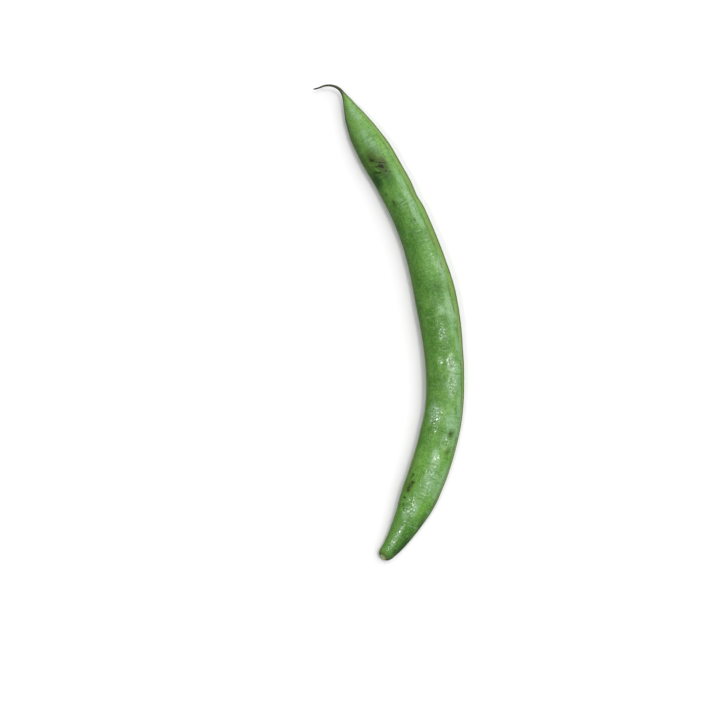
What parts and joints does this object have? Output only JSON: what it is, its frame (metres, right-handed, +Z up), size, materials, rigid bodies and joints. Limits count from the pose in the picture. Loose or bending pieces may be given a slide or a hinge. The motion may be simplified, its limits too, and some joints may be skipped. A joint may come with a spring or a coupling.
{
  "type": "green bean",
  "caption": "Fresh green bean pod lying on its broad side, curved, with a hooked beak at one end and a blunt stem scar at the other.",
  "frame": {"origin": "on the surface the pod rests on, below the middle of its bounding box", "axes": "+Z up, out of the upper broad face; +Y along the pod towards its beak; +X towards the side that bulges"},
  "size_m": [0.0436, 0.138, 0.0078],
  "materials": {
    "pod_skin": "fresh mid-green skin, mottled, with a soft wet gloss"
  },
  "bodies": {
    "root": {"pod": "pod_skin"}
  },
  "joints": []
}
